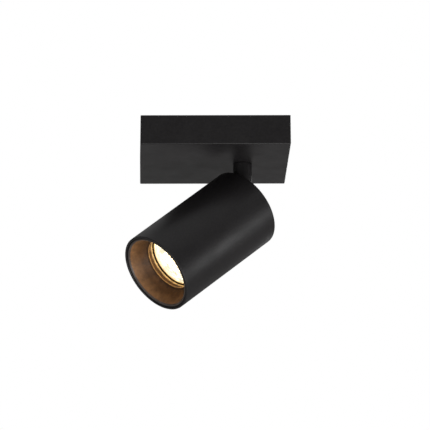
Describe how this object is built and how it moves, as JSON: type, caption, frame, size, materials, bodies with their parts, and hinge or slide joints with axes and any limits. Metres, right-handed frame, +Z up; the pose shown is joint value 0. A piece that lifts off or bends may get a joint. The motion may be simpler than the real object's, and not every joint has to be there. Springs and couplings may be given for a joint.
{
  "type": "surface mounted ceiling spotlight",
  "caption": "Ceiling spotlight with a shallow square canopy, a short round stem that swivels and a tilting cylinder head with a conical baffle over a GU10 lamp.",
  "frame": {"origin": "Centre of the mounting plate's two ceiling screw slots, on the ceiling plane, at the centre of the square canopy", "axes": "+Z up into the ceiling; +X to the canopy's right seen from the front, along the line of the screws; -Y to the front. Rest is the aim in the picture."},
  "size_m": [0.1105, 0.1114, 0.1269],
  "materials": {
    "black_powder_coat": "satin black powder coat",
    "baffle_black": "satin black, lit by the lamp",
    "galvanised_steel": "galvanised",
    "zinc_screw": "zinc plated",
    "black_screw": "blackened",
    "spring_steel": "plain",
    "brass": "plain",
    "terminal_nylon": "moulded",
    "washer_nylon": "moulded",
    "live_sleeve": "smooth",
    "neutral_sleeve": "smooth",
    "earth_sleeve": "smooth",
    "lead_bundle": "smooth",
    "steatite": "unglazed",
    "ring_rubber": "matte",
    "lamp_shell": "moulded white",
    "lamp_rim": "moulded",
    "lamp_lens": "textured, lit warm white",
    "led_board": "white solder mask",
    "led": "phosphor",
    "driver_board": "green solder mask",
    "nickel_pin": "nickel plated"
  },
  "bodies": {
    "canopy": {"canopy_cover": "black_powder_coat", "mounting_plate": "galvanised_steel", "cover_grub_screws": "black_screw", "terminal_block": "terminal_nylon", "terminal_inserts": "brass", "terminal_screws": "zinc_screw", "terminal_fixing_screw": "zinc_screw", "earth_stud": "brass", "earth_tags": "brass", "earth_washer": "zinc_screw", "earth_nut": "zinc_screw", "swivel_stop_post": "spring_steel", "live_lead": "live_sleeve", "neutral_lead": "neutral_sleeve", "earth_leads": "earth_sleeve"},
    "stem": {"stem_tube": "black_powder_coat", "stem_nipple": "galvanised_steel", "nylon_washer": "washer_nylon", "disc_spring": "spring_steel", "stop_washer": "spring_steel", "stem_nut": "galvanised_steel", "stem_knuckle": "black_powder_coat", "stem_leads": "lead_bundle"},
    "head": {"head_tube": "black_powder_coat", "rear_cap": "black_powder_coat", "pivot_screws": "black_screw", "friction_washers": "washer_nylon", "lampholder": "steatite", "lampholder_contacts": "brass", "lampholder_screws": "zinc_screw", "head_earth_tag": "brass", "head_leads": "lead_bundle"},
    "baffle_unit": {"baffle": "baffle_black", "baffle_o_ring": "ring_rubber"},
    "lamp": {"lamp_housing": "lamp_shell", "lamp_bezel": "lamp_rim", "lamp_lens": "lamp_lens", "lamp_led_board": "led_board", "lamp_leds": "led", "lamp_driver_board": "driver_board", "lamp_base": "lamp_shell", "lamp_pins": "nickel_pin"}
  },
  "joints": [
    {"name": "stem_swivel", "type": "hinge", "parent": "canopy", "child": "stem", "pos_m": [0.0192, 0, -0.02], "axis": [0, 0, 1], "range_deg": [-170, 170]},
    {"name": "head_tilt", "type": "hinge", "parent": "stem", "child": "head", "pos_m": [0.0192, 0, -0.0515], "axis": [-0.5195, 0.8545, 0], "range_deg": [-122.4, 17.6]},
    {"name": "baffle_pull", "type": "slide", "parent": "head", "child": "baffle_unit", "axis": [-0.677, -0.4116, -0.6101], "range_m": [0, 0.03]},
    {"name": "lamp_twist", "type": "hinge", "parent": "head", "child": "lamp", "pos_m": [0.0192, 0, -0.0515], "axis": [-0.677, -0.4116, -0.6101], "range_deg": [0, 20]}
  ]
}
